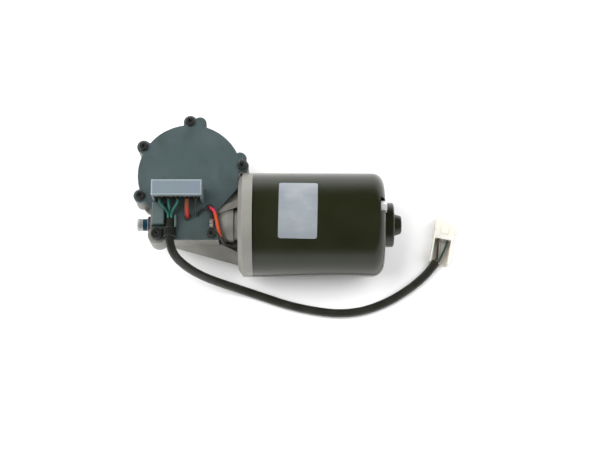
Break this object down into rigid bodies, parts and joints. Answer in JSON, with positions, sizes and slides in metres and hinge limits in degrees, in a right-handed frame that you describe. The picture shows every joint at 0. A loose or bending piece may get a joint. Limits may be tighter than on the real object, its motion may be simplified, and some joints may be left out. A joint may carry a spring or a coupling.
{
  "type": "wiper motor",
  "caption": "Wiper motor with a worm gearbox in a cast case, a grey lid, a terminal hood and a lead with a plug.",
  "frame": {"origin": "the output shaft's axis in the plane of the three mounting pads", "axes": "+X along the motor, away from the gear case; +Z from the mounting pads towards the lid; the output shaft points to -Z"},
  "size_m": [0.2646, 0.1575, 0.086],
  "materials": {
    "cast_aluminium": "cast, satin",
    "lid_plastic": "matte slate grey-green",
    "hood_plastic": "light grey, satin",
    "terminal_plastic": "dark olive",
    "black_steel": "black oxide",
    "gasket": "light grey fibre",
    "steel": "ground",
    "spring_steel": "bright",
    "can_paint": "black paint, semi-gloss",
    "magnet": "ferrite, matt",
    "bronze": "sintered",
    "brass": "rolled",
    "copper": "bare copper",
    "enamel_wire": "enamelled copper",
    "core_steel": "laminations, matt",
    "wheel_nylon": "natural nylon",
    "insulation": "phenolic brown",
    "carbon": "carbon",
    "rubber": "matt",
    "cable_sheath": "black, satin",
    "green_wire": "satin",
    "red_wire": "satin",
    "black_wire": "satin",
    "plug_wire": "satin, mixed colours",
    "tin": "tinned",
    "plug_nylon": "natural nylon, cream"
  },
  "bodies": {
    "case": {"gear_housing": "cast_aluminium", "cover_gasket": "gasket", "gear_cover": "lid_plastic", "cover_screws": "black_steel", "terminal_hood": "hood_plastic", "terminal_block": "terminal_plastic", "blade_terminals": "brass", "contact_carrier": "terminal_plastic", "contact_springs": "copper", "output_bush_lower": "bronze", "output_bush_upper": "bronze", "shaft_seal": "rubber", "adjusting_screw": "steel", "lock_nut": "steel", "thrust_ball": "steel", "front_bush": "bronze", "bearing_outer_ring": "steel", "bearing_balls": "steel", "bearing_retainer": "spring_steel", "pole_housing": "can_paint", "tie_bolts": "steel", "magnets": "magnet", "rear_bush": "bronze", "rear_bush_retainer": "spring_steel", "brush_plate": "insulation", "brush_holders": "brass", "brush_spring_1": "spring_steel", "brush_spring_2": "spring_steel", "brush_spring_3": "spring_steel", "green_leads": "green_wire", "red_sleeve_lead": "red_wire", "black_lead": "black_wire", "red_brush_lead": "red_wire", "lead_grommet": "rubber", "earth_tag": "tin", "cable_clamp": "black_steel", "cable": "cable_sheath", "plug_housing": "plug_nylon", "plug_pins": "tin", "plug_leads": "plug_wire"},
    "output": {"output_shaft": "steel", "wheel_hub": "brass", "worm_wheel": "wheel_nylon", "contact_disc": "copper", "thrust_washers": "steel", "circlip": "spring_steel"},
    "armature": {"armature_shaft": "steel", "armature_core": "core_steel", "armature_windings": "enamel_wire", "commutator_bars": "copper", "commutator_sleeve": "insulation", "bearing_inner_ring": "steel"},
    "brush_a": {"carbon_brush_1": "carbon"},
    "brush_b": {"carbon_brush_2": "carbon"},
    "brush_c": {"carbon_brush_3": "carbon"}
  },
  "joints": [
    {"name": "output_spin", "type": "hinge", "parent": "case", "child": "output", "pos_m": [0, 0, 0], "axis": [0, 0, 1], "continuous": true},
    {"name": "armature_spin", "type": "hinge", "parent": "case", "child": "armature", "pos_m": [0, -0.038, 0.018], "axis": [1, 0, 0], "continuous": true},
    {"name": "brush_slide_1", "type": "slide", "parent": "case", "child": "brush_a", "axis": [0, 0.9744, -0.225], "range_m": [0, 0.002], "stiffness_N_per_m": 300, "springref_m": -0.008, "deforming": ["brush_spring_1"]},
    {"name": "brush_slide_2", "type": "slide", "parent": "case", "child": "brush_b", "axis": [0, -0.9744, 0.225], "range_m": [0, 0.002], "stiffness_N_per_m": 300, "springref_m": -0.008, "deforming": ["brush_spring_2"]},
    {"name": "brush_slide_3", "type": "slide", "parent": "case", "child": "brush_c", "axis": [0, -0.454, 0.891], "range_m": [0, 0.002], "stiffness_N_per_m": 300, "springref_m": -0.008, "deforming": ["brush_spring_3"]}
  ],
  "couplings": [
    {"joint": "armature_spin", "follows": "output_spin", "ratio": -50}
  ]
}
